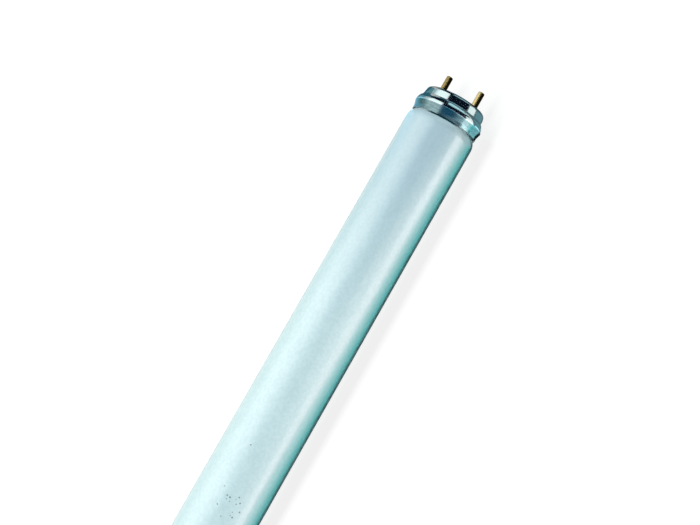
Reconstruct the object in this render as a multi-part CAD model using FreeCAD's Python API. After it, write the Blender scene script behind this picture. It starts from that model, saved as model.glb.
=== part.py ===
"""Fluorescent tube, 26 mm across, with a two-pin cap at each end.

The lamp lies along X with its middle at the origin, and the two pins of a cap lie side by side along Y.
All lengths are millimetres. One end is drawn, the right-hand one, and its mirror image makes the other.
Within an end, places along the lamp are counted outwards from the mouth of the cap.
"""

import FreeCAD
import Part

import math
import os

# Lamp
FACE_TO_FACE = 589.8  # between the end faces of the two caps
TUBE_DIAMETER = 26.0
GLASS_WALL = 0.6

# Glass neck, which the cap covers
NECK_STEP = 1.25  # the neck is this much smaller in radius than the tube
NECK_SLOPE = 35.0  # degrees between the shoulder of the glass and the axis
NECK_START = -0.1
NECK_END = 4.6
SHOULDER_ROUNDING = 5.5
NECK_ROUNDING = 1.2
RIM_WIDTH = 0.9  # flat glass rim where the stem is fused to the neck

# Glass stem, folded back into the tube
STEM_BORE = 6.8
STEM_DEPTH = 13.0  # from the rim of the neck down to the floor of the stem
STEM_FLOOR = 4.0  # thickness of the pinched glass that seals the lead wires
STEM_WALL = 0.8
FUNNEL_DEPTH = 1.8  # the stem opens out into a funnel this far below the rim of the neck
FUNNEL_ROUNDING = 6.0
EXHAUST_DIAMETER = 2.8
EXHAUST_BORE = 1.6
EXHAUST_END = 2.4
EXHAUST_TIP = 1.0  # closed glass at the end of the exhaust tube

# Cap shell, drawn from sheet
CAP_SHEET = 0.3
CAP_HEIGHT = 9.6
CEMENT_GAP = 0.35  # between the neck and the skirt
FLARE_START = 1.3
FLARE_ROUNDING = 1.0
BEAD_START = 3.2
BEAD_RISE = 0.55  # the bead stands this far out from the skirt
BEAD_ROUNDING = 1.0
CAP_SHOULDER_SLOPE = 50.0  # degrees, where the shoulder meets the drum; it leaves the bead level
DRUM_START = 6.0
DRUM_STEP = 1.25  # from the bead in to the foot of the drum
DRUM_TAPER = 0.7  # lost in radius between the foot and the end of the drum
FOOT_ROUNDING = 0.4  # where the shoulder meets the drum
END_ROUNDING = 1.4
LIP_WIDTH = 0.6  # flat ring round the window, which holds the plate
CEMENT_START = 0.4
CEMENT_END = 3.9

# Insulating plate
PLATE_THICKNESS = 1.5
PLATE_CLEARANCE = 0.1

# Contact pins
PIN_SPACING = 12.7
PIN_DIAMETER = 2.35
PIN_LENGTH = 6.8  # beyond the end face of the cap
PIN_BORE = 1.2
PIN_TIP = 1.0  # thickness of the closed tip, which holds the end of the lead wire
PIN_TIP_ROUNDING = 0.35
SHANK_DIAMETER = 1.9  # where the pin passes through the plate
COLLAR_DIAMETER = 3.4  # behind the plate
COLLAR_THICKNESS = 0.6
FLANGE_DIAMETER = 2.9  # on the front of the plate, which it grips against the collar
FLANGE_THICKNESS = 0.25

# Lead wires
LEAD_DIAMETER = 0.6
LEAD_SPACING = 4.8  # where the wires leave the stem
LEAD_BEND = 1.0
LEAD_STRAIGHT = 0.5  # run below the collar before the wire turns inwards
LEAD_RISE = 3.6  # height over which the wire crosses from the pin to the stem

# Worked out from the sizes above
CAP_MOUTH = FACE_TO_FACE / 2 - CAP_HEIGHT
TUBE_RADIUS = TUBE_DIAMETER / 2
NECK_RADIUS = TUBE_RADIUS - NECK_STEP
SKIRT_RADIUS = NECK_RADIUS + CEMENT_GAP + CAP_SHEET
BEAD_RADIUS = SKIRT_RADIUS + BEAD_RISE
DRUM_RADIUS = BEAD_RADIUS - DRUM_STEP
DRUM_END_RADIUS = DRUM_RADIUS - DRUM_TAPER
STEM_RADIUS = STEM_BORE / 2
WINDOW_RADIUS = DRUM_END_RADIUS - END_ROUNDING - LIP_WIDTH
PLATE_TOP = CAP_HEIGHT - CAP_SHEET
PLATE_BOTTOM = PLATE_TOP - PLATE_THICKNESS
COLLAR_BOTTOM = PLATE_BOTTOM - COLLAR_THICKNESS
PIN_END = CAP_HEIGHT + PIN_LENGTH
STEM_BOTTOM = NECK_END - STEM_DEPTH
FUNNEL_START = NECK_END - FUNNEL_DEPTH

ORIGIN = FreeCAD.Vector(0, 0, 0)
ALONG = FreeCAD.Vector(1, 0, 0)
UP = FreeCAD.Vector(0, 0, 1)
SMALLEST_RUN = 1e-6


def reaches_of(points, roundings):
    """How far each rounding reaches along its two runs. Roundings that meet on a short run share it."""
    runs = [after - before for before, after in zip(points, points[1:])]
    reaches = [0.0]
    for before, after, rounding in zip(runs, runs[1:], roundings[1:-1]):
        reaches.append(rounding * math.tan(before.getAngle(after) / 2))
    reaches.append(0.0)
    shares = [1.0] * len(points)
    for index, run in enumerate(runs):
        wanted = reaches[index] + reaches[index + 1]
        share = min(1.0, run.Length / max(wanted, SMALLEST_RUN))
        shares[index] = min(shares[index], share)
        shares[index + 1] = min(shares[index + 1], share)
    return [reach * share for reach, share in zip(reaches, shares)]


def rounded_path(corners):
    """Edges in the XY plane through corners of (x, y, rounding), with a tangent arc at each inner corner."""
    points = [FreeCAD.Vector(x, y, 0) for x, y, _ in corners]
    reaches = reaches_of(points, [rounding for _, _, rounding in corners])
    edges = []
    last = points[0]
    for before, corner, after, reach in zip(points, points[1:], points[2:], reaches[1:]):
        arriving = (corner - before).normalize()
        leaving = (after - corner).normalize()
        start = corner - arriving * reach
        if last.distanceToPoint(start) > SMALLEST_RUN:
            edges.append(Part.LineSegment(last, start).toShape())
        last = start
        if reach > SMALLEST_RUN:
            half_turn = arriving.getAngle(leaving) / 2
            inwards = (leaving - arriving).normalize()
            middle = corner + inwards * (reach * (1 / math.sin(half_turn) - 1 / math.tan(half_turn)))
            last = corner + leaving * reach
            edges.append(Part.Arc(start, middle, last).toShape())
    if last.distanceToPoint(points[-1]) > SMALLEST_RUN:
        edges.append(Part.LineSegment(last, points[-1]).toShape())
    return edges


def inset(corners, depth):
    """The corners of a parallel path, the given depth to the right of the path through the given corners."""
    points = [FreeCAD.Vector(x, y, 0) for x, y, _ in corners]
    headings = [(after - before).normalize() for before, after in zip(points, points[1:])]
    sides = [heading.cross(UP) for heading in headings]
    moved = []
    for index, (point, corner) in enumerate(zip(points, corners)):
        side_before = sides[max(index - 1, 0)]
        side_after = sides[min(index, len(sides) - 1)]
        shift = (side_before + side_after) * (depth / (1 + side_before.dot(side_after)))
        turns_left = side_before.cross(side_after).z > 0
        rounding = corner[2] + depth if turns_left else corner[2] - depth
        place = point + shift
        moved.append((place.x, place.y, max(rounding, 0.0) if corner[2] else 0.0))
    return moved


def at_right_end(corners):
    """Corners counted from the mouth of the right-hand cap, moved to their place along the lamp."""
    return [(CAP_MOUTH + along, across, rounding) for along, across, rounding in corners]


def mirrored(corners):
    """The same corners at the left-hand end."""
    return [(-along, across, rounding) for along, across, rounding in corners]


def turned(edges, axis_offset=0.0):
    """A solid of revolution about the line along X at the given offset, from an outline in the XY plane."""
    outline = Part.Wire(edges)
    first = outline.OrderedVertexes[0].Point
    last = outline.OrderedVertexes[-1].Point
    if first.distanceToPoint(last) > SMALLEST_RUN:
        outline = Part.Wire(edges + [Part.LineSegment(last, first).toShape()])
    return Part.Face(outline).revolve(FreeCAD.Vector(0, axis_offset, 0), ALONG, 360)


def filled(corners):
    """A full solid of revolution about the axis of the lamp, from a path brought down to it at both ends."""
    first = (corners[0][0], 0, 0)
    last = (corners[-1][0], 0, 0)
    return turned(rounded_path([first] + corners + [last]))


def shoulder_length(drop, slope):
    """Length along the lamp of a shoulder that loses the given radius at the given slope in degrees."""
    return drop / math.tan(math.radians(slope))


def bulb_wall():
    """Outer face of the glass, from the rim of the left neck to the rim of the right one."""
    shoulder_start = NECK_START - shoulder_length(NECK_STEP, NECK_SLOPE)
    right = at_right_end(
        [
            (NECK_END, NECK_RADIUS, 0),
            (NECK_START, NECK_RADIUS, NECK_ROUNDING),
            (shoulder_start, TUBE_RADIUS, SHOULDER_ROUNDING),
        ]
    )
    return mirrored(right) + right[::-1]


def sealed_space():
    """The space inside the glass, round the stem at each end and up the bore of its exhaust tube."""
    bore_radius = EXHAUST_BORE / 2
    stem_radius = STEM_RADIUS + STEM_WALL
    bore_end = EXHAUST_END - EXHAUST_TIP
    stem_end = STEM_BOTTOM - STEM_FLOOR
    right = at_right_end(
        [
            (bore_end, bore_radius, 0),
            (stem_end, bore_radius, 0),
            (stem_end, stem_radius, 0),
            (FUNNEL_START - STEM_WALL, stem_radius, FUNNEL_ROUNDING - STEM_WALL),
            (NECK_END - STEM_WALL, NECK_RADIUS - GLASS_WALL, 0),
        ]
    )
    wall = inset(bulb_wall(), GLASS_WALL)[1:-1]
    return filled(mirrored(right) + wall + right[::-1])


def stem_well():
    """The open hollow in the right-hand neck: a funnel that narrows to a stem, round its exhaust tube."""
    exhaust_radius = EXHAUST_DIAMETER / 2
    corners = [
        (EXHAUST_END, 0, 0),
        (EXHAUST_END, exhaust_radius, exhaust_radius),
        (STEM_BOTTOM, exhaust_radius, 0),
        (STEM_BOTTOM, STEM_RADIUS, 0),
        (FUNNEL_START, STEM_RADIUS, FUNNEL_ROUNDING),
        (NECK_END, NECK_RADIUS - RIM_WIDTH, 0),
        (NECK_END, 0, 0),
    ]
    return turned(rounded_path(at_right_end(corners)))


def glass_bulb():
    """Sealed glass envelope, blown and fused into one piece."""
    well = stem_well()
    return filled(bulb_wall()).cut([sealed_space(), well, well.mirror(ORIGIN, ALONG)])


def cap_wall():
    """Outer face of the cap shell, from its mouth to the lip of the window in its end."""
    shoulder_corner = DRUM_START - shoulder_length(DRUM_STEP, CAP_SHOULDER_SLOPE)
    half_turn = math.radians(CAP_SHOULDER_SLOPE / 2)
    shoulder_rounding = (shoulder_corner - BEAD_START) / math.tan(half_turn)
    return at_right_end(
        [
            (0, SKIRT_RADIUS, 0),
            (FLARE_START, SKIRT_RADIUS, FLARE_ROUNDING),
            (BEAD_START, BEAD_RADIUS, BEAD_ROUNDING),
            (shoulder_corner, BEAD_RADIUS, shoulder_rounding),
            (DRUM_START, DRUM_RADIUS, FOOT_ROUNDING),
            (CAP_HEIGHT, DRUM_END_RADIUS, END_ROUNDING),
            (CAP_HEIGHT, WINDOW_RADIUS, 0),
        ]
    )


def cap_shell():
    """Drawn aluminium shell of even thickness."""
    outer = cap_wall()
    inner = inset(outer, CAP_SHEET)[::-1]
    lip = rounded_path([outer[-1], inner[0]])
    return turned(rounded_path(outer) + lip + rounded_path(inner))


def cement_ring():
    """Basing cement that fills the gap between the skirt of the cap and the neck of the glass."""
    foot = FreeCAD.Vector(CAP_MOUTH + CEMENT_START, 0, 0)
    slab = Part.makeCylinder(BEAD_RADIUS, CEMENT_END - CEMENT_START, foot, ALONG)
    return slab.common(filled(cap_wall())).cut([cap_shell(), filled(bulb_wall())])


def drum_inside(along):
    """Inner radius of the tapered drum of the cap at a place along it."""
    slope = DRUM_TAPER / (CAP_HEIGHT - DRUM_START)
    sheet_across = CAP_SHEET * math.hypot(1, slope)
    return DRUM_RADIUS - slope * (along - DRUM_START) - sheet_across


def insulator():
    """Insulating plate seated behind the end of the cap, with a hole for each pin."""
    chamfer = END_ROUNDING - CAP_SHEET
    chamfer_start = PLATE_TOP - chamfer
    corners = [
        (PLATE_BOTTOM, drum_inside(PLATE_BOTTOM) - PLATE_CLEARANCE, 0),
        (chamfer_start, drum_inside(chamfer_start) - PLATE_CLEARANCE, 0),
        (PLATE_TOP, drum_inside(PLATE_TOP) - PLATE_CLEARANCE - chamfer, 0),
    ]
    plate = filled(at_right_end(corners))
    for side in (1, -1):
        foot = FreeCAD.Vector(CAP_MOUTH + PLATE_BOTTOM, side * PIN_SPACING / 2, 0)
        plate = plate.cut(Part.makeCylinder(SHANK_DIAMETER / 2, PLATE_THICKNESS, foot, ALONG))
    return plate


def contact_pin(side):
    """Hollow brass pin, riveted through the plate. Side is 1 for the +Y pin and -1 for the other."""
    centre = side * PIN_SPACING / 2
    pin_radius = PIN_DIAMETER / 2
    section = [
        (COLLAR_BOTTOM, PIN_BORE / 2, 0),
        (COLLAR_BOTTOM, COLLAR_DIAMETER / 2, 0),
        (PLATE_BOTTOM, COLLAR_DIAMETER / 2, 0),
        (PLATE_BOTTOM, SHANK_DIAMETER / 2, 0),
        (PLATE_TOP, SHANK_DIAMETER / 2, 0),
        (PLATE_TOP, FLANGE_DIAMETER / 2, 0),
        (PLATE_TOP + FLANGE_THICKNESS, pin_radius, 0),
        (PIN_END, pin_radius, PIN_TIP_ROUNDING),
        (PIN_END, LEAD_DIAMETER / 2, 0),
        (PIN_END - PIN_TIP, LEAD_DIAMETER / 2, 0),
        (PIN_END - PIN_TIP, PIN_BORE / 2, 0),
    ]
    corners = [(along, centre + across, rounding) for along, across, rounding in section]
    return turned(rounded_path(at_right_end(corners)), centre)


def lead_wire(side):
    """Lead wire from the floor of the glass stem, through the bore of a pin to its tip."""
    pin_offset = side * PIN_SPACING / 2
    stem_offset = side * LEAD_SPACING / 2
    turn_in = COLLAR_BOTTOM - LEAD_STRAIGHT
    route = at_right_end(
        [
            (PIN_END, pin_offset, 0),
            (turn_in, pin_offset, LEAD_BEND),
            (turn_in - LEAD_RISE, stem_offset, LEAD_BEND),
            (STEM_BOTTOM, stem_offset, 0),
        ]
    )
    tip = FreeCAD.Vector(*route[0][:2], 0)
    section = Part.Wire(Part.makeCircle(LEAD_DIAMETER / 2, tip, ALONG))
    return Part.Wire(rounded_path(route)).makePipeShell([section], True, False)


def end_pieces():
    """The pieces of the right-hand end, by name."""
    pieces = {"cap_shell": cap_shell(), "insulator": insulator(), "cement_ring": cement_ring()}
    for name, side in (("back", 1), ("front", -1)):
        pieces[f"{name}_pin"] = contact_pin(side)
        pieces[f"{name}_lead_wire"] = lead_wire(side)
    return pieces


def write_parts():
    """Writes each piece of the lamp to its own file."""
    os.makedirs("parts", exist_ok=True)
    glass_bulb().exportStep("parts/glass_bulb.step")
    for name, shape in end_pieces().items():
        shape.exportStep(f"parts/right_{name}.step")
        shape.mirror(ORIGIN, ALONG).exportStep(f"parts/left_{name}.step")


write_parts()
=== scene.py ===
"""Looks of the fluorescent tube: materials, floor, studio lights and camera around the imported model."""

import bpy
import math
from mathutils import Matrix, Vector


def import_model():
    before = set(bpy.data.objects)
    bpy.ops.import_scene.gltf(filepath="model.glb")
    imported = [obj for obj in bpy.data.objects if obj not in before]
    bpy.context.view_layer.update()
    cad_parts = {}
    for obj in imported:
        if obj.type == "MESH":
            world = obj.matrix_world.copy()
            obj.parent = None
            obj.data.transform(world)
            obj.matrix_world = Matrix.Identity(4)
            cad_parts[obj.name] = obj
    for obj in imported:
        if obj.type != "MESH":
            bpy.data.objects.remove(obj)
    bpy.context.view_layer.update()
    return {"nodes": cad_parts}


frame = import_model()

# Camera, in metres in the frame of the lamp
CAMERA_PLACE = Vector((0.170388, -0.130169, 0.546377))
CAMERA_RIGHT = Vector((0.49326641, -0.85509300, -0.15970038))
CAMERA_UP = Vector((0.86406459, 0.46045165, 0.20341253))
CAMERA_LENS = 83.818
SENSOR_WIDTH = 36.0
CLIP_START = 0.01
CLIP_END = 100.0

# Lamp, in metres along X from its middle
ALONG = Vector((1.0, 0.0, 0.0))
DIAGONAL = Vector((0.0, 1.0, 1.0)).normalized()
TUBE_RADIUS = 0.013
CAP_MOUTH = 0.2853
BEAD_CREST = 0.2885
POLISH_START = BEAD_CREST - 0.0001
POLISH_END = BEAD_CREST + 0.0003
RIM_START = 0.2938
RIM_END = RIM_START + 0.0006
SEAM_GAP = 0.000001

# Coating of the glass, with distances in metres along X from the middle or round from the top
POWDER_DARK = (0.685, 0.82, 0.832, 1.0)
POWDER_LIGHT = (0.755, 0.885, 0.895, 1.0)
GRAIN_SHARE = 0.75
CLOUD_SHARE = 0.25
# Greying towards each cap: partly the coating's own end darkening, partly painted shade, laid mostly on the
# top and the back side
END_GREY_AND_SHADE = (0.36, 0.52, 0.62, 1.0)
END_GREY_START = 0.19
END_GREY_FULL = 0.30
END_GREY_FRONT = -0.012
END_GREY_TOP = -0.005
END_GREY_FRONT_SHARE = 0.1
END_GREY_TOP_SHARE = 0.5
DIRT = (0.12, 0.15, 0.15, 1.0)
DIRT_PLACE = (0.136, -0.00425, 0.01228)
DIRT_CORE = 0.002
DIRT_REACH = 0.007
DIRT_CORE_SHARE = 0.5
DIRT_STRAY_SHARE = 0.002
DIRT_SCALE = 750.0
DIRT_SIZE = 0.24
DIRT_STRENGTH = 0.8
# Painted shadow: a dark line on the glass in the groove at the cap's mouth, darkest along the top
GROOVE_SHADOW = (0.001, 0.035, 0.048, 1.0)
GROOVE_START = CAP_MOUTH - 0.0007
GROOVE_END = CAP_MOUTH - 0.0003
GROOVE_OFFSET = 0.0015
GROOVE_DARK_REACH = 0.0045
GROOVE_REACH = 0.0085
GROOVE_SIDE_SHARE = 0.15

# Colours of the other materials
SKIRT_DARK = (0.138, 0.215, 0.228, 1.0)
SKIRT_LIGHT = (0.205, 0.315, 0.334, 1.0)
ALUMINIUM_DARK = (0.70, 0.78, 0.80, 1.0)
ALUMINIUM_LIGHT = (0.86, 0.92, 0.93, 1.0)
RIM_GREY = (0.25, 0.30, 0.32, 1.0)
BRASS_DARK = (0.62, 0.42, 0.13, 1.0)
BRASS_LIGHT = (0.86, 0.66, 0.28, 1.0)
FIBRE_DARK = (0.16, 0.075, 0.035, 1.0)
FIBRE_LIGHT = (0.36, 0.20, 0.10, 1.0)
CEMENT_DARK = (0.30, 0.24, 0.17, 1.0)
CEMENT_LIGHT = (0.62, 0.53, 0.41, 1.0)
NICKEL_DARK = (0.48, 0.46, 0.42, 1.0)
NICKEL_LIGHT = (0.72, 0.70, 0.66, 1.0)

# Floor and lights
FLOOR_HEIGHT = -0.0131
FLOOR_SIZE = 12.0
FLOOR_GREY = (0.2, 0.2, 0.2, 1.0)
FLOOR_GLOW = 0.86
WHITE = (1.0, 1.0, 1.0, 1.0)
BLACK = (0.0, 0.0, 0.0, 1.0)
AMBIENT = (0.04, 0.09, 0.10, 1.0)
KEY_ANGLE = -27.0
KEY_LENGTH = 0.9
KEY_WIDTH = 0.15
KEY_DISTANCE = 0.8
KEY_STRENGTH = 1.18
END_LIGHT_SIZE = 0.3
END_LIGHT_DISTANCE = 1.3
END_LIGHT_STRENGTH = 0.4

# Colours of the cards that show in reflections
SOFTBOX = (1.6, 1.6, 1.6, 1.0)
STRIP_FAR = (2.85, 2.8, 2.8, 1.0)
STRIP_MIDDLE = (3.15, 3.1, 3.1, 1.0)
STRIP_NEAR = (3.65, 3.65, 3.75, 1.0)
SKIRT_STRIP = (3.6, 3.45, 3.25, 1.0)
WING_INNER = (0.65, 0.75, 0.8, 1.0)
WING = (1.8, 1.95, 2.0, 1.0)
FLARE_WING = (0.8, 0.95, 1.05, 1.0)
DRUM_SOFTBOX = (0.97, 1.12, 1.1, 1.0)
DRUM_STRIP = (0.88, 1.02, 1.0, 1.0)
NAVY = (0.003, 0.006, 0.014, 1.0)
STEEL_BLUE = (0.028, 0.2, 0.35, 1.0)
TEAL = (0.12, 0.27, 0.31, 1.0)
GREY_TEAL = (0.10, 0.17, 0.19, 1.0)
SOFT_TEAL = (0.45, 0.75, 0.8, 1.0)
SKIRT_TEAL = (0.4, 0.85, 1.05, 1.0)
BRIGHT_TEAL = (0.2, 1.58, 1.52, 1.0)
PALE_TEAL = (0.75, 1.38, 1.46, 1.0)
DARK_TEAL = (0.0, 0.005, 0.007, 1.0)
DARK_BROWN = (0.012, 0.01, 0.008, 1.0)
PIN_LIGHT = (0.5, 0.5, 0.48, 1.0)
PALE_PIN_LIGHT = (0.95, 1.05, 1.3, 1.0)
STRIP_GLOW = (1.4, 2.6, 2.6, 1.0)
FAR_STRIP_GLOW = (0.2, 1.7, 1.75, 1.0)
PALE_STRIP_GLOW = (2.4, 2.6, 2.5, 1.0)
BEAD_TEAL = (0.05, 0.16, 0.17, 1.0)
FLOOR_TEAL = (0.5, 1.6, 1.6, 1.0)
FAR_TEAL = (0.03, 0.12, 0.16, 1.0)
EDGE_TEAL = (0.62, 0.74, 0.72, 1.0)
GLASS_TEAL = (0.28, 0.5, 0.48, 1.0)

# Cards above the lamp: distances in metres, and angles in degrees from the camera's side
CARD_DISTANCE = 0.42
BACK_CARD_DISTANCE = 0.43
FADE_STEPS = 8
LEFT_HORIZON = -103.0
SOFTBOX_OUTER = -82.0
SOFTBOX_INNER = -35.0
DRUM_SOFTBOX_INNER = -35.5
WING_START = 10.0
WING_FOOT = 16.0
STRIP_INNER = 52.0
LONG_STRIP_INNER = 51.0
DRUM_STRIP_INNER = 54.0
STRIP_FAR_OUTER = 73.5
STRIP_MIDDLE_OUTER = 77.0
STRIP_NEAR_OUTER = 76.5
STRIP_OUTER = 78.0
LONG_CANOPY_ANGLES = (LEFT_HORIZON, -70.0, -40.0)
SHORT_CANOPY_ANGLES = (-40.0, 0.0, 45.0, 76.0)

# Ends of the cards above the lamp, in metres along X
CARD_LEFT = -0.7
BACK_CARD_LEFT = -0.9
FLARE_LEFT = 0.05
WING_LEFT = 0.18
STRIP_MIDDLE_LEFT = 0.2
STRIP_NEAR_LEFT = 0.3
WING_RIGHT = 0.34
SKIRT_STRIP_LEFT = 0.36
DRUM_CARD_LEFT = 0.38
DRUM_LEFT = 0.4
DRUM_FADE_RIGHT = 0.54
DRUM_SOFTBOX_RIGHT = 0.59
CANOPY_LEFT = 0.61
SHORT_CANOPY_RIGHT = 1.35
LONG_CANOPY_RIGHT = 3.0

# Floor cards, in metres across the lamp, negative to the picture's right
FLOOR_CARD_LIFT = 0.0002
MAT_LIFT = 0.0001
LEFT_NEAR = 0.0135
EDGE_FAR = 0.045
LEFT_FAR = 0.4
OUTER_FAR = 0.6
MAT_NEAR = -0.012
MAT_FAR = -0.028
DARK_NEAR = -0.0125
TEAL_NEAR = -0.0222
GLOW_NEAR = -0.074
STRIP_GLOW_NEAR = -0.15
STRIP_GLOW_FAR = -0.42
BEAD_NEAR = -0.0205
BEAD_FAR = -0.11
END_NEAR = -0.1

# Ends of the floor cards, in metres along X, and how they lean along X on the way out
GLASS_LEFT = -0.5
FRONT_LEFT = -0.27
MAT_LEFT = -0.02
STRIP_GLOW_LEFT = 0.17
SKIRT_LEFT = 0.2848
BEAD_LEFT = 0.2905
NECK_LEFT = 0.2925
DRUM_FOOT = 0.2955
GLOW_RIGHT = 0.308
STRIP_GLOW_RIGHT = 0.309
PALE_STRIP_GLOW_RIGHT = 0.327
BEAD_RIGHT = 0.45
STUDIO_END = 0.8
SKIRT_LEAN = 0.3
NECK_LEAN = 0.52
STRIP_LEAN = 0.19
BEAD_LEAN = 0.25
TEAL_TAPER = 3.0
DARK_TAPER = 20.0

# Upright cards at the cap, the pins and the end of the studio, in metres
SIDE_PLACE = -0.0165
SKIRT_SIDE_LEFT = 0.2835
DRUM_SIDE_RIGHT = 0.2985
SKIRT_SIDE_FOOT = -0.0048
SKIRT_SIDE_TOP = 0.0040
DRUM_SIDE_TOP = 0.0036
RIGHT_SHADE_PLACE = -0.0085
LEFT_SHADE_PLACE = 0.0042
RIGHT_PIN_CARD_PLACE = 0.0030
LEFT_PIN_CARD_PLACE = 0.0105
PIN_CARD_LEFT = 0.2952
PIN_CARD_RIGHT = 0.306
PIN_CARD_FOOT = -0.004
PIN_CARD_TOP = 0.0095
RIGHT_SHADE_TOP = 0.008
END_CARD_SIDE = 0.6
END_CARD_SPLIT = 0.08
END_CARD_STEP = 0.03
END_CARD_TOP = 0.4


def node_tree(name):
    """A new material with an empty node tree, and the tree."""
    material = bpy.data.materials.new(name)
    material.use_nodes = True
    material.node_tree.nodes.clear()
    return material, material.node_tree


def feed(tree, socket, value):
    """Links a socket to an input, or sets the input to a plain value."""
    if isinstance(value, bpy.types.NodeSocket):
        tree.links.new(value, socket)
    else:
        socket.default_value = value


def add(tree, kind, **inputs):
    """A new node, with the named inputs set to a value or linked from a socket."""
    node = tree.nodes.new(kind)
    for name, value in inputs.items():
        feed(tree, node.inputs[name.replace("_", " ")], value)
    return node


def calculate(tree, operation, *values):
    """The result of a Math node."""
    node = tree.nodes.new("ShaderNodeMath")
    node.operation = operation
    for socket, value in zip(node.inputs, values):
        feed(tree, socket, value)
    return node.outputs["Value"]


def spread(tree, value, base, width):
    """A value between a base and the base plus a width, by a value between 0 and 1."""
    return calculate(tree, "MULTIPLY_ADD", value, width, base)


def ramp(tree, value, start, end, low=0.0, high=1.0):
    """A value that goes smoothly from low to high between two places, and is held outside them."""
    node = tree.nodes.new("ShaderNodeMapRange")
    node.interpolation_type = "SMOOTHSTEP"
    feed(tree, node.inputs["Value"], value)
    feed(tree, node.inputs["From Min"], start)
    feed(tree, node.inputs["From Max"], end)
    feed(tree, node.inputs["To Min"], low)
    feed(tree, node.inputs["To Max"], high)
    return node.outputs["Result"]


def blend(tree, share, first, second):
    """A mix of two colours by a share."""
    node = tree.nodes.new("ShaderNodeMix")
    node.data_type = "RGBA"
    feed(tree, node.inputs["Factor"], share)
    colours = [socket for socket in node.inputs if socket.type == "RGBA"]
    feed(tree, colours[0], first)
    feed(tree, colours[1], second)
    return [socket for socket in node.outputs if socket.type == "RGBA"][0]


def place(tree):
    """Where a point is on the lamp."""
    return tree.nodes.new("ShaderNodeTexCoord").outputs["Object"]


def off_middle(tree, vector):
    """How far a point is along X from the middle of the lamp, to either side."""
    parts = add(tree, "ShaderNodeSeparateXYZ", Vector=vector)
    return calculate(tree, "ABSOLUTE", parts.outputs["X"])


def noise(tree, vector, scale, detail, roughness, stretch=(1.0, 1.0, 1.0)):
    """A noise value between 0 and 1, with its grain stretched along the axes."""
    mapping = add(tree, "ShaderNodeMapping", Vector=vector, Scale=stretch)
    grain = add(
        tree,
        "ShaderNodeTexNoise",
        Vector=mapping.outputs["Vector"],
        Scale=scale,
        Detail=detail,
        Roughness=roughness,
    )
    return grain.outputs["Fac"]


def unrolled(tree, vector):
    """Places on the round of the lamp rolled out flat, and the distance round it from the top."""
    parts = add(tree, "ShaderNodeSeparateXYZ", Vector=vector)
    angle = calculate(tree, "ARCTAN2", parts.outputs["Y"], parts.outputs["Z"])
    from_top = calculate(tree, "MULTIPLY", angle, TUBE_RADIUS)
    flat = add(tree, "ShaderNodeCombineXYZ", X=parts.outputs["X"], Y=from_top)
    return flat.outputs["Vector"], from_top


def specks(tree, flat, scale, size, share):
    """1 inside small scattered specks and 0 elsewhere. Share is how many of the cells have a speck."""
    cells = tree.nodes.new("ShaderNodeTexVoronoi")
    cells.voronoi_dimensions = "2D"
    feed(tree, cells.inputs["Vector"], flat)
    feed(tree, cells.inputs["Scale"], scale)
    random = add(tree, "ShaderNodeSeparateColor", Color=cells.outputs["Color"])
    radius = calculate(tree, "MULTIPLY", random.outputs["Green"], size)
    inside = calculate(tree, "LESS_THAN", cells.outputs["Distance"], radius)
    chosen = calculate(tree, "LESS_THAN", random.outputs["Red"], share)
    return calculate(tree, "MULTIPLY", inside, chosen)


def bumps(tree, height, strength, distance):
    """A normal that is roughened by a height."""
    return add(tree, "ShaderNodeBump", Height=height, Strength=strength, Distance=distance).outputs["Normal"]


def finish_material(tree, shader):
    """Links a shader to the material's output."""
    output = tree.nodes.new("ShaderNodeOutputMaterial")
    tree.links.new(shader, output.inputs["Surface"])


def greyed_and_shaded(tree, powder, from_middle, from_top):
    """The powder's colour, greyer towards the caps, partly as the coating's own end darkening and partly as
    painted shade, and less so on the front side.
    """
    near_cap = ramp(tree, from_middle, END_GREY_START, END_GREY_FULL)
    share = ramp(tree, from_top, END_GREY_FRONT, END_GREY_TOP, END_GREY_FRONT_SHARE, END_GREY_TOP_SHARE)
    return blend(tree, calculate(tree, "MULTIPLY", near_cap, share), powder, END_GREY_AND_SHADE)


def dirtied(tree, clean, vector, flat):
    """A colour with a patch of dirt specks, and a few stray ones."""
    patch = tree.nodes.new("ShaderNodeVectorMath")
    patch.operation = "DISTANCE"
    feed(tree, patch.inputs[0], vector)
    patch.inputs[1].default_value = DIRT_PLACE
    from_patch = patch.outputs["Value"]
    around = ramp(tree, from_patch, DIRT_CORE, DIRT_REACH, DIRT_CORE_SHARE, DIRT_STRAY_SHARE)
    dirt = specks(tree, flat, DIRT_SCALE, DIRT_SIZE, around)
    return blend(tree, calculate(tree, "MULTIPLY", dirt, DIRT_STRENGTH), clean, DIRT)


def groove_shadow_share(tree, from_middle, from_top):
    """How dark the painted shadow line along the mouth of the cap is: most along the top, and less at the
    sides.
    """
    edge = ramp(tree, from_middle, GROOVE_START, GROOVE_END)
    off_top = calculate(tree, "ABSOLUTE", calculate(tree, "ADD", from_top, GROOVE_OFFSET))
    top = ramp(tree, off_top, GROOVE_DARK_REACH, GROOVE_REACH, 1.0, GROOVE_SIDE_SHARE)
    return calculate(tree, "MULTIPLY", edge, top)


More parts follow.
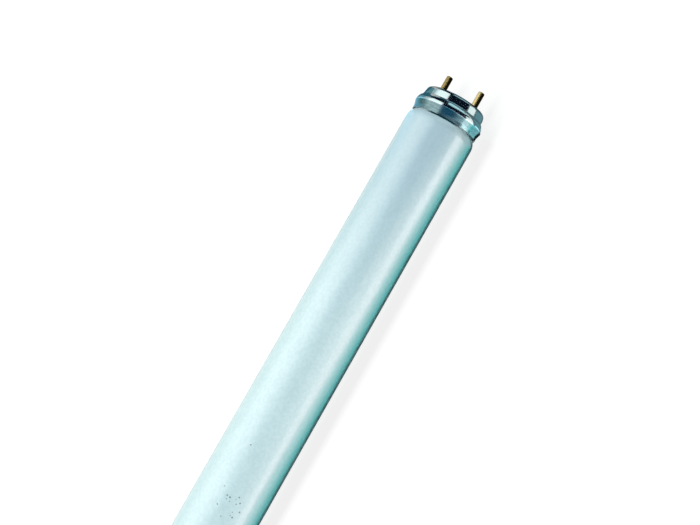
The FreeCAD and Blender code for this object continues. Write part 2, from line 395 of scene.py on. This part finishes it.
def coated_glass():
    """Glass with a white powder coating inside: pale, a little blue-green, with a clear gloss on top."""
    material, tree = node_tree("coated_glass_look")
    vector = place(tree)
    from_middle = off_middle(tree, vector)
    flat, from_top = unrolled(tree, vector)
    fine = noise(tree, vector, scale=900.0, detail=3.0, roughness=0.6)
    coarse = noise(tree, vector, scale=220.0, detail=3.0, roughness=0.6, stretch=(0.5, 1.0, 1.0))
    grain = ramp(tree, fine, start=0.4, end=0.6)
    cloud = ramp(tree, coarse, start=0.4, end=0.6)
    cloud_part = calculate(tree, "MULTIPLY", cloud, CLOUD_SHARE)
    tone = spread(tree, grain, base=cloud_part, width=GRAIN_SHARE)
    powder = blend(tree, tone, POWDER_DARK, POWDER_LIGHT)
    # Greyer towards the caps: partly the coating's end darkening, partly painted shade on the top and back
    dirty = dirtied(tree, greyed_and_shaded(tree, powder, from_middle, from_top), vector, flat)
    # Painted shadow in the groove at the cap's mouth: the colour goes dark and the gloss is taken away there
    groove_shadow = groove_shadow_share(tree, from_middle, from_top)
    gloss = calculate(tree, "SUBTRACT", 1.0, groove_shadow)
    shader = add(
        tree,
        "ShaderNodeBsdfPrincipled",
        Base_Color=blend(tree, groove_shadow, dirty, GROOVE_SHADOW),
        Roughness=0.5,
        Diffuse_Roughness=1.0,
        Specular_IOR_Level=gloss,
        Coat_Weight=gloss,
        Coat_Roughness=0.21,
        Coat_IOR=1.8,
        Coat_Normal=bumps(tree, cloud, strength=0.05, distance=0.0002),
    )
    finish_material(tree, shader.outputs["BSDF"])
    return material


def cap_metal():
    """Drawn aluminium: bright on the drum and shoulder, satin with drawing lines on the skirt."""
    material, tree = node_tree("cap_metal_look")
    vector = place(tree)
    from_middle = off_middle(tree, vector)
    lines = noise(tree, vector, scale=60.0, detail=2.0, roughness=0.5, stretch=(60.0, 1.0, 1.0))
    cloud = noise(tree, vector, scale=250.0, detail=3.0, roughness=0.55)
    brushed = noise(tree, vector, scale=400.0, detail=4.0, roughness=0.65, stretch=(3.0, 1.0, 1.0))
    polish = ramp(tree, from_middle, POLISH_START, POLISH_END)
    satin = spread(tree, lines, base=0.16, width=0.10)
    bright = spread(tree, cloud, base=0.08, width=0.10)
    polished_part = calculate(tree, "MULTIPLY", bright, polish)
    satin_part = calculate(tree, "MULTIPLY", satin, calculate(tree, "SUBTRACT", 1.0, polish))
    brushing = ramp(tree, brushed, start=0.35, end=0.65)
    skirt = blend(tree, brushing, SKIRT_DARK, SKIRT_LIGHT)
    bare = blend(tree, cloud, ALUMINIUM_DARK, ALUMINIUM_LIGHT)
    drum = blend(tree, ramp(tree, from_middle, RIM_START, RIM_END), bare, RIM_GREY)
    shader = add(
        tree,
        "ShaderNodeBsdfPrincipled",
        Base_Color=blend(tree, polish, skirt, drum),
        Metallic=1.0,
        Roughness=calculate(tree, "ADD", polished_part, satin_part),
        Normal=bumps(tree, lines, strength=0.08, distance=0.0001),
    )
    finish_material(tree, shader.outputs["BSDF"])
    return material


def pin_metal():
    """Drawn brass, a little tarnished."""
    material, tree = node_tree("pin_metal_look")
    vector = place(tree)
    tarnish = noise(tree, vector, scale=700.0, detail=4.0, roughness=0.6)
    lines = noise(tree, vector, scale=900.0, detail=2.0, roughness=0.5, stretch=(0.05, 1.0, 1.0))
    shader = add(
        tree,
        "ShaderNodeBsdfPrincipled",
        Base_Color=blend(tree, tarnish, BRASS_DARK, BRASS_LIGHT),
        Metallic=1.0,
        Roughness=spread(tree, lines, base=0.15, width=0.15),
    )
    finish_material(tree, shader.outputs["BSDF"])
    return material


def insulation():
    """Brown pressed fibre board with paper flecks."""
    material, tree = node_tree("insulation_look")
    flecks = noise(tree, place(tree), scale=1500.0, detail=5.0, roughness=0.65, stretch=(1.0, 1.0, 0.35))
    shader = add(
        tree,
        "ShaderNodeBsdfPrincipled",
        Base_Color=blend(tree, flecks, FIBRE_DARK, FIBRE_LIGHT),
        Roughness=0.62,
        Normal=bumps(tree, flecks, strength=0.3, distance=0.0001),
    )
    finish_material(tree, shader.outputs["BSDF"])
    return material


def cement():
    """Rough cured basing cement."""
    material, tree = node_tree("cement_look")
    grit = noise(tree, place(tree), scale=1200.0, detail=5.0, roughness=0.7)
    shader = add(
        tree,
        "ShaderNodeBsdfPrincipled",
        Base_Color=blend(tree, grit, CEMENT_DARK, CEMENT_LIGHT),
        Roughness=0.9,
        Normal=bumps(tree, grit, strength=0.6, distance=0.0002),
    )
    finish_material(tree, shader.outputs["BSDF"])
    return material


def lead_metal():
    """Drawn nickel-plated wire."""
    material, tree = node_tree("lead_metal_look")
    lines = noise(tree, place(tree), scale=1500.0, detail=2.0, roughness=0.5, stretch=(0.06, 1.0, 1.0))
    shader = add(
        tree,
        "ShaderNodeBsdfPrincipled",
        Base_Color=blend(tree, lines, NICKEL_DARK, NICKEL_LIGHT),
        Metallic=1.0,
        Roughness=spread(tree, lines, base=0.25, width=0.2),
    )
    finish_material(tree, shader.outputs["BSDF"])
    return material


def dress():
    """Gives each piece of the lamp its material, by the last word of its name."""
    looks = {
        "bulb": coated_glass(),
        "shell": cap_metal(),
        "pin": pin_metal(),
        "insulator": insulation(),
        "ring": cement(),
        "wire": lead_metal(),
    }
    for name, piece in frame["nodes"].items():
        piece.data.materials.clear()
        piece.data.materials.append(looks[name.split("_")[-1]])


def mend_seam(name):
    """Joins the two sides of the seam along a piece, so that its shading runs on across it."""
    piece = frame["nodes"][name]
    weld = piece.modifiers.new("weld", "WELD")
    weld.merge_threshold = SEAM_GAP
    piece.modifiers.new("even_normals", "WEIGHTED_NORMAL")


def seen_by_eye(tree):
    """1 for rays that reach the camera directly, in a mirror or through glass, and 0 for the rest."""
    path = tree.nodes.new("ShaderNodeLightPath")
    total = calculate(tree, "ADD", path.outputs["Is Camera Ray"], path.outputs["Is Glossy Ray"])
    total = calculate(tree, "ADD", total, path.outputs["Is Transmission Ray"])
    return calculate(tree, "MINIMUM", total, 1.0)


def quad(name, corners, material):
    """A flat stage piece through four corners."""
    mesh = bpy.data.meshes.new(name)
    mesh.from_pydata([tuple(corner) for corner in corners], [], [(0, 1, 2, 3)])
    mesh.materials.append(material)
    piece = bpy.data.objects.new(name, mesh)
    bpy.context.scene.collection.objects.link(piece)
    return piece


def floor():
    """Plain white floor, which keeps the shadow of the lamp."""
    material, tree = node_tree("floor_look")
    diffuse = add(tree, "ShaderNodeBsdfDiffuse", Color=FLOOR_GREY)
    strength = calculate(tree, "MULTIPLY", seen_by_eye(tree), FLOOR_GLOW)
    glow = add(tree, "ShaderNodeEmission", Color=WHITE, Strength=strength)
    both = tree.nodes.new("ShaderNodeAddShader")
    tree.links.new(diffuse.outputs["BSDF"], both.inputs[0])
    tree.links.new(glow.outputs["Emission"], both.inputs[1])
    finish_material(tree, both.outputs["Shader"])
    half = FLOOR_SIZE / 2
    corners = [(-half, -half), (half, -half), (half, half), (-half, half)]
    quad("floor", [(x, y, FLOOR_HEIGHT) for x, y in corners], material)


def world():
    """White surroundings as seen, and a dim cool light from all sides."""
    scene_world = bpy.data.worlds.new("studio")
    bpy.context.scene.world = scene_world
    scene_world.use_nodes = True
    tree = scene_world.node_tree
    tree.nodes.clear()
    colour = blend(tree, seen_by_eye(tree), AMBIENT, WHITE)
    background = add(tree, "ShaderNodeBackground", Color=colour, Strength=1.0)
    output = tree.nodes.new("ShaderNodeOutputWorld")
    tree.links.new(background.outputs["Background"], output.inputs["Surface"])


def across(degrees):
    """Direction square to the lamp, by its angle from the camera's side, positive to the right."""
    left = ALONG.cross(-CAMERA_PLACE).normalized()
    towards_camera = ALONG.cross(left)
    angle = math.radians(degrees)
    return towards_camera * math.cos(angle) - left * math.sin(angle)


def aimed_light(name, outward, lengthwise, length, width, distance, strength):
    """A soft light that shades the lamp without showing in it. Strength 1 makes white about white."""
    light = bpy.data.lights.new(name, "AREA")
    light.shape = "RECTANGLE"
    light.size = length
    light.size_y = width
    light.energy = strength * (math.pi * distance) ** 2
    lamp = bpy.data.objects.new(name, light)
    turn = Matrix((lengthwise, outward.cross(lengthwise), outward)).transposed()
    lamp.matrix_world = Matrix.Translation(outward * distance) @ turn.to_4x4()
    lamp.visible_camera = False
    lamp.visible_glossy = False
    bpy.context.scene.collection.objects.link(lamp)


def lights():
    """Lights that shade the lamp: a long key from above, and a small light towards each end."""
    aimed_light("key", across(KEY_ANGLE), ALONG, KEY_LENGTH, KEY_WIDTH, KEY_DISTANCE, KEY_STRENGTH)
    for name, outward in (("right_end_light", ALONG), ("left_end_light", -ALONG)):
        aimed_light(
            name,
            outward,
            DIAGONAL,
            END_LIGHT_SIZE,
            END_LIGHT_SIZE,
            END_LIGHT_DISTANCE,
            END_LIGHT_STRENGTH,
        )


def card(name, corners, colour):
    """A card that shows only in reflections."""
    material, tree = node_tree(name + "_look")
    shader = add(tree, "ShaderNodeEmission", Color=colour, Strength=1.0)
    finish_material(tree, shader.outputs["Emission"])
    material.cycles.emission_sampling = "NONE"
    piece = quad(name, corners, material)
    piece.visible_camera = False
    piece.visible_diffuse = False
    piece.visible_shadow = False


def mat(name, near, far, left_end, right_end):
    """A black mat on the floor that only keeps soft light from coming back up to the lamp."""
    material, tree = node_tree(name + "_look")
    shader = add(tree, "ShaderNodeBsdfDiffuse", Color=BLACK)
    finish_material(tree, shader.outputs["BSDF"])
    height = FLOOR_HEIGHT + MAT_LIFT
    corners = [(left_end, near), (right_end, near), (right_end, far), (left_end, far)]
    piece = quad(name, [(x, y, height) for x, y in corners], material)
    piece.visible_camera = False
    piece.visible_glossy = False
    piece.visible_transmission = False
    piece.visible_shadow = False


def band(name, start, end, left_end, right_end, colour, distance=CARD_DISTANCE):
    """A card along the lamp between two angles across it."""
    first = across(start) * distance
    second = across(end) * distance
    left = ALONG * left_end
    right = ALONG * right_end
    card(name, [first + left, first + right, second + right, second + left], colour)


def back_band(name, start, end, left_end, right_end, colour):
    """A card along the lamp, a little behind the others."""
    band(name, start, end, left_end, right_end, colour, BACK_CARD_DISTANCE)


def fade(name, start, end, left_end, right_end, first, last, distance=CARD_DISTANCE):
    """A row of bands whose colour goes in even steps from the first to the last."""
    turn = (end - start) / FADE_STEPS
    for step in range(FADE_STEPS):
        share = (step + 0.5) / FADE_STEPS
        colour = [low + (high - low) * share for low, high in zip(first, last)]
        band(name, start + step * turn, start + (step + 1) * turn, left_end, right_end, colour, distance)


def back_fade(name, start, end, left_end, right_end, first, last):
    """A row of bands that fade, a little behind the other cards."""
    fade(name, start, end, left_end, right_end, first, last, BACK_CARD_DISTANCE)


def side_card(name, beside, left_end, right_end, bottom, top, colour):
    """An upright card along the lamp."""
    foot = [(left_end, beside, bottom), (right_end, beside, bottom)]
    head = [(right_end, beside, top), (left_end, beside, top)]
    card(name, foot + head, colour)


def floor_card(name, near, far, left_end, right_end, colour, left_lean=0.0, right_lean=0.0):
    """A card on the floor along the lamp, whose ends can lean along X on the way out from the lamp."""
    height = FLOOR_HEIGHT + FLOOR_CARD_LIFT
    run = abs(far - near)
    inner = [(left_end, near, height), (right_end, near, height)]
    outer = [(right_end + right_lean * run, far, height), (left_end + left_lean * run, far, height)]
    card(name, inner + outer, colour)


def end_card(name, near, far, bottom, top, colour):
    """An upright card across the end of the studio."""
    foot = [(STUDIO_END, near, bottom), (STUDIO_END, far, bottom)]
    head = [(STUDIO_END, far, top), (STUDIO_END, near, top)]
    card(name, foot + head, colour)


def left_cards():
    """The softbox on the left, and its lower part that fades to the floor."""
    band("left_softbox", SOFTBOX_OUTER, SOFTBOX_INNER, CARD_LEFT, DRUM_LEFT, SOFTBOX)
    fade("left_fade", SOFTBOX_OUTER, LEFT_HORIZON, CARD_LEFT, DRUM_LEFT, SOFTBOX, GLASS_TEAL)
    band("drum_softbox", SOFTBOX_OUTER, DRUM_SOFTBOX_INNER, DRUM_LEFT, DRUM_SOFTBOX_RIGHT, DRUM_SOFTBOX)
    fade("drum_fade", SOFTBOX_OUTER, LEFT_HORIZON, DRUM_LEFT, DRUM_FADE_RIGHT, DRUM_SOFTBOX, TEAL)
    band("neck_card", LEFT_HORIZON, SOFTBOX_OUTER, DRUM_FADE_RIGHT, CANOPY_LEFT, NAVY)
    band("neck_card", SOFTBOX_OUTER, SOFTBOX_INNER, DRUM_SOFTBOX_RIGHT, CANOPY_LEFT, NAVY)


def strip_cards():
    """The strip on the right, brighter towards the cap."""
    band("right_strip", LONG_STRIP_INNER, STRIP_FAR_OUTER, CARD_LEFT, STRIP_MIDDLE_LEFT, STRIP_FAR)
    band(
        "right_strip",
        LONG_STRIP_INNER,
        STRIP_MIDDLE_OUTER,
        STRIP_MIDDLE_LEFT,
        STRIP_NEAR_LEFT,
        STRIP_MIDDLE,
    )
    band("right_strip", STRIP_INNER, STRIP_NEAR_OUTER, STRIP_NEAR_LEFT, SKIRT_STRIP_LEFT, STRIP_NEAR)
    band("skirt_strip", STRIP_INNER, STRIP_OUTER, SKIRT_STRIP_LEFT, DRUM_LEFT, SKIRT_STRIP)
    band("drum_strip", DRUM_STRIP_INNER, STRIP_OUTER, DRUM_LEFT, CANOPY_LEFT, DRUM_STRIP)


def middle_cards():
    """The darker cards between the softbox and the strip, and the dark canopy past the end."""
    back_band("skirt_card", SOFTBOX_INNER, WING_START, BACK_CARD_LEFT, DRUM_CARD_LEFT, STEEL_BLUE)
    back_fade("right_wing", WING_START, STRIP_INNER, BACK_CARD_LEFT, FLARE_LEFT, WING_INNER, WING)
    back_fade("right_wing", WING_START, STRIP_INNER, FLARE_LEFT, WING_LEFT, STEEL_BLUE, FLARE_WING)
    back_band("skirt_card", WING_START, WING_FOOT, WING_LEFT, WING_RIGHT, STEEL_BLUE)
    back_fade("right_wing", WING_FOOT, STRIP_INNER, WING_LEFT, WING_RIGHT, WING_INNER, WING)
    back_band("skirt_card", WING_START, STRIP_INNER, WING_RIGHT, DRUM_CARD_LEFT, STEEL_BLUE)
    back_band("drum_card", SOFTBOX_INNER, DRUM_STRIP_INNER, DRUM_CARD_LEFT, CANOPY_LEFT, NAVY)
    canopies = ((LONG_CANOPY_ANGLES, LONG_CANOPY_RIGHT), (SHORT_CANOPY_ANGLES, SHORT_CANOPY_RIGHT))
    for angles, right_end in canopies:
        for start, end in zip(angles, angles[1:]):
            back_band("canopy_card", start, end, CANOPY_LEFT, right_end, NAVY)


def left_floor_cards():
    """What the left side of the lamp reflects of the floor."""
    floor_card("left_floor_card", LEFT_NEAR, LEFT_FAR, BEAD_LEFT, NECK_LEFT, TEAL, SKIRT_LEAN, NECK_LEAN)
    floor_card("far_floor_card", LEFT_NEAR, OUTER_FAR, NECK_LEFT, STUDIO_END, FAR_TEAL, NECK_LEAN)
    floor_card("skirt_floor_card", LEFT_NEAR, LEFT_FAR, SKIRT_LEFT, BEAD_LEFT, SKIRT_TEAL, 0.0, SKIRT_LEAN)
    floor_card("edge_floor_card", LEFT_NEAR, EDGE_FAR, GLASS_LEFT, SKIRT_LEFT, EDGE_TEAL)
    floor_card("glass_floor_card", EDGE_FAR, LEFT_FAR, GLASS_LEFT, SKIRT_LEFT, GLASS_TEAL)


def right_floor_cards():
    """What the right side of the lamp reflects of the floor: pale far out, teal, and dark close by."""
    floor_card(
        "far_strip_floor_card",
        STRIP_GLOW_NEAR,
        STRIP_GLOW_FAR,
        FRONT_LEFT,
        STRIP_GLOW_LEFT,
        FAR_STRIP_GLOW,
    )
    floor_card(
        "strip_floor_card",
        STRIP_GLOW_NEAR,
        STRIP_GLOW_FAR,
        STRIP_GLOW_LEFT,
        STRIP_GLOW_RIGHT,
        STRIP_GLOW,
        right_lean=STRIP_LEAN,
    )
    floor_card(
        "skirt_strip_floor_card",
        STRIP_GLOW_NEAR,
        STRIP_GLOW_FAR,
        STRIP_GLOW_RIGHT,
        PALE_STRIP_GLOW_RIGHT,
        PALE_STRIP_GLOW,
        STRIP_LEAN,
        BEAD_LEAN,
    )
    floor_card(
        "glow_floor_card",
        GLOW_NEAR,
        STRIP_GLOW_NEAR,
        FRONT_LEFT,
        GLOW_RIGHT,
        FLOOR_TEAL,
        right_lean=BEAD_LEAN,
    )
    floor_card("bead_floor_card", BEAD_NEAR, BEAD_FAR, DRUM_FOOT, BEAD_RIGHT, BEAD_TEAL, BEAD_LEAN)
    floor_card("teal_floor_card", TEAL_NEAR, GLOW_NEAR, FRONT_LEFT, BEAD_LEFT, BRIGHT_TEAL, TEAL_TAPER)
    floor_card("dark_floor_card", DARK_NEAR, TEAL_NEAR, FRONT_LEFT, BEAD_LEFT, DARK_TEAL, DARK_TAPER)
    mat("dark_mat", MAT_NEAR, MAT_FAR, MAT_LEFT, BEAD_LEFT)


def cap_cards():
    """Small upright cards beside the cap and the pins."""
    side_card(
        "skirt_side_card",
        SIDE_PLACE,
        SKIRT_SIDE_LEFT,
        BEAD_LEFT,
        SKIRT_SIDE_FOOT,
        SKIRT_SIDE_TOP,
        PALE_TEAL,
    )
    side_card(
        "skirt_low_card",
        SIDE_PLACE,
        SKIRT_SIDE_LEFT,
        BEAD_LEFT,
        FLOOR_HEIGHT,
        SKIRT_SIDE_FOOT,
        DARK_TEAL,
    )
    side_card(
        "drum_side_card",
        SIDE_PLACE,
        BEAD_LEFT,
        DRUM_SIDE_RIGHT,
        FLOOR_HEIGHT,
        DRUM_SIDE_TOP,
        TEAL,
    )
    for name, beside, top, colour in (
        ("right_pin_shade", RIGHT_SHADE_PLACE, RIGHT_SHADE_TOP, DARK_BROWN),
        ("left_pin_shade", LEFT_SHADE_PLACE, PIN_CARD_TOP, DARK_BROWN),
        ("right_pin_card", RIGHT_PIN_CARD_PLACE, PIN_CARD_TOP, PALE_PIN_LIGHT),
        ("left_pin_card", LEFT_PIN_CARD_PLACE, PIN_CARD_TOP, PIN_LIGHT),
    ):
        side_card(name, beside, PIN_CARD_LEFT, PIN_CARD_RIGHT, PIN_CARD_FOOT, top, colour)


def end_cards():
    """What the shoulder and the end of the cap reflect past the end of the lamp."""
    floor_card("end_floor_card", END_NEAR, LEFT_NEAR, DRUM_FOOT, STUDIO_END, GREY_TEAL)
    end_card("end_card", -END_CARD_SIDE, END_CARD_SIDE, FLOOR_HEIGHT, END_CARD_STEP, NAVY)
    end_card("left_end_card", END_CARD_SPLIT, END_CARD_SIDE, END_CARD_STEP, END_CARD_TOP, NAVY)
    end_card("right_end_card", -END_CARD_SIDE, END_CARD_SPLIT, END_CARD_STEP, END_CARD_TOP, SOFT_TEAL)


def cards():
    """All that the lamp reflects besides the floor and the surroundings."""
    left_cards()
    strip_cards()
    middle_cards()
    left_floor_cards()
    right_floor_cards()
    cap_cards()
    end_cards()


def camera():
    """Camera at the photograph's place."""
    data = bpy.data.cameras.new("camera")
    data.sensor_fit = "HORIZONTAL"
    data.sensor_width = SENSOR_WIDTH
    data.lens = CAMERA_LENS
    data.clip_start = CLIP_START
    data.clip_end = CLIP_END
    eye = bpy.data.objects.new("camera", data)
    turn = Matrix((CAMERA_RIGHT, CAMERA_UP, CAMERA_RIGHT.cross(CAMERA_UP))).transposed()
    eye.matrix_world = Matrix.Translation(CAMERA_PLACE) @ turn.to_4x4()
    bpy.context.scene.collection.objects.link(eye)
    bpy.context.scene.camera = eye


dress()
mend_seam("glass_bulb")
floor()
world()
lights()
cards()
camera()
bpy.context.scene.view_settings.view_transform = "Standard"
